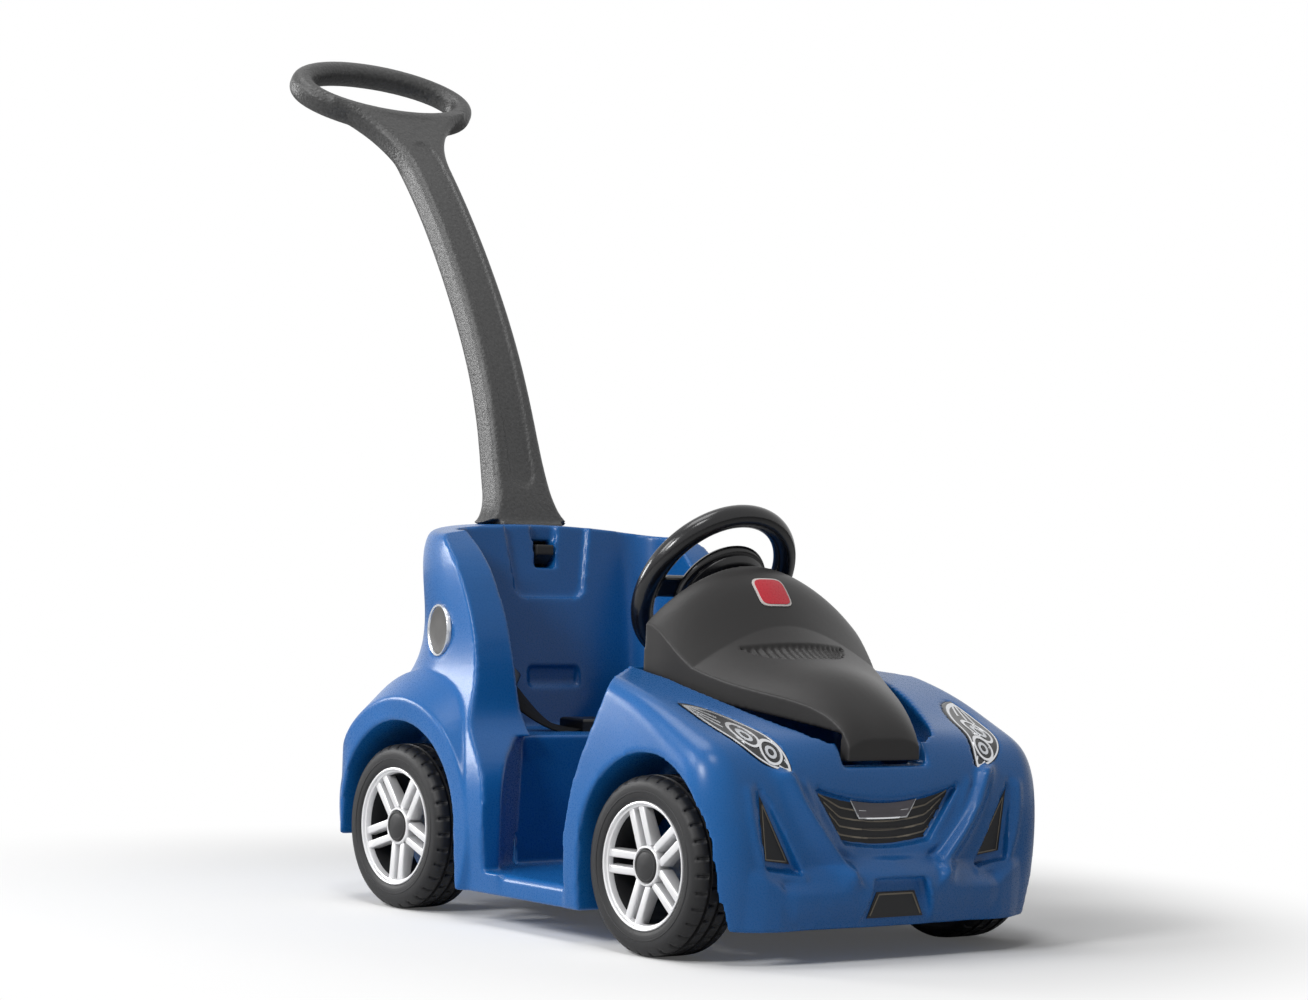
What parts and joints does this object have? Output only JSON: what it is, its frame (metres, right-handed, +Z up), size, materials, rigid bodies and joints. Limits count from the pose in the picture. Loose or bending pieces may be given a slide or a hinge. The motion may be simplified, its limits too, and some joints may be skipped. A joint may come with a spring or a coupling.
{
  "type": "push car with handle",
  "caption": "Blue moulded push-around toy car with a tall charcoal push handle, lift-up bonnet over a bin, steering wheel with horn, lap belt and silver-spoked wheels",
  "frame": {"origin": "on the floor, at the middle of the whole outline seen from above, push handle included", "axes": "+Z up, the nose points to -Y, +X is the rider's left-hand side seen from the front; X is the car's width"},
  "size_m": [0.494, 1.1163, 1.0555],
  "materials": {
    "body_blue": "satin",
    "trim_charcoal": "satin",
    "handle_charcoal": "matte",
    "wheel_black": "gloss",
    "tyre_black": "satin",
    "rim_silver": "satin",
    "cap_grey": "satin",
    "zinc_steel": "satin",
    "webbing": "matte",
    "buckle_black": "satin",
    "lamp_silver": "gloss",
    "grille_dark": "satin",
    "fuel_cap_grey": "satin",
    "bush_white": "satin",
    "dome_rubber": "matte"
  },
  "bodies": {
    "car": {"body_shell": "body_blue", "hood_hinge_pin": "zinc_steel", "front_axle": "zinc_steel", "rear_axle": "zinc_steel", "push_nuts": "zinc_steel", "steering_bush": "bush_white", "wheel_spacers": "bush_white", "buckle_socket": "buckle_black", "buckle_tongue": "buckle_black", "grille_panel": "grille_dark", "chin_panel": "grille_dark", "belt_strap_left": "webbing", "belt_anchor_left": "buckle_black", "fuel_cap_left": "fuel_cap_grey", "vent_panel_left": "grille_dark", "headlight_left": "lamp_silver", "belt_strap_right": "webbing", "belt_anchor_right": "buckle_black", "fuel_cap_right": "fuel_cap_grey", "vent_panel_right": "grille_dark", "headlight_right": "lamp_silver"},
    "steering": {"steering_wheel": "wheel_black", "steering_shaft": "zinc_steel", "steering_clip": "zinc_steel", "horn_spring": "dome_rubber"},
    "horn": {"horn_button": "wheel_black"},
    "hood": {"hood_panel": "trim_charcoal"},
    "handle": {"push_handle": "handle_charcoal"},
    "latch": {"handle_latch": "trim_charcoal"},
    "wheel_front_left": {"tyre_front_left": "tyre_black", "wheel_rim_front_left": "rim_silver", "wheel_bush_front_left": "bush_white", "hub_cap_front_left": "cap_grey"},
    "wheel_front_right": {"tyre_front_right": "tyre_black", "wheel_rim_front_right": "rim_silver", "wheel_bush_front_right": "bush_white", "hub_cap_front_right": "cap_grey"},
    "wheel_rear_left": {"tyre_rear_left": "tyre_black", "wheel_rim_rear_left": "rim_silver", "wheel_bush_rear_left": "bush_white", "hub_cap_rear_left": "cap_grey"},
    "wheel_rear_right": {"tyre_rear_right": "tyre_black", "wheel_rim_rear_right": "rim_silver", "wheel_bush_rear_right": "bush_white", "hub_cap_rear_right": "cap_grey"}
  },
  "joints": [
    {"name": "wheel_spin_front_left", "type": "hinge", "parent": "car", "child": "wheel_front_left", "pos_m": [0.208, -0.41436, 0.095], "axis": [1, 0, 0], "continuous": true},
    {"name": "wheel_spin_front_right", "type": "hinge", "parent": "car", "child": "wheel_front_right", "pos_m": [-0.208, -0.41436, 0.095], "axis": [1, 0, 0], "continuous": true},
    {"name": "wheel_spin_rear_left", "type": "hinge", "parent": "car", "child": "wheel_rear_left", "pos_m": [0.208, 0.05264, 0.095], "axis": [1, 0, 0], "continuous": true},
    {"name": "wheel_spin_rear_right", "type": "hinge", "parent": "car", "child": "wheel_rear_right", "pos_m": [-0.208, 0.05264, 0.095], "axis": [1, 0, 0], "continuous": true},
    {"name": "steering_turn", "type": "hinge", "parent": "car", "child": "steering", "pos_m": [0, -0.22586, 0.388], "axis": [0, 0.831, 0.5563], "continuous": true},
    {"name": "horn_press", "type": "slide", "parent": "steering", "child": "horn", "axis": [0, -0.831, -0.5563], "range_m": [0, 0.004], "stiffness_N_per_m": 600, "deforming": ["horn_spring"]},
    {"name": "hood_lift", "type": "hinge", "parent": "car", "child": "hood", "pos_m": [0, -0.29886, 0.386], "axis": [-1, 0, 0], "range_deg": [0, 50]},
    {"name": "handle_lift", "type": "slide", "parent": "car", "child": "handle", "axis": [0, 0, 1], "range_m": [0, 0.112], "deforming": ["handle_latch"]},
    {"name": "latch_press", "type": "slide", "parent": "handle", "child": "latch", "axis": [0, 1, 0], "range_m": [0, 0.026], "stiffness_N_per_m": 800}
  ]
}
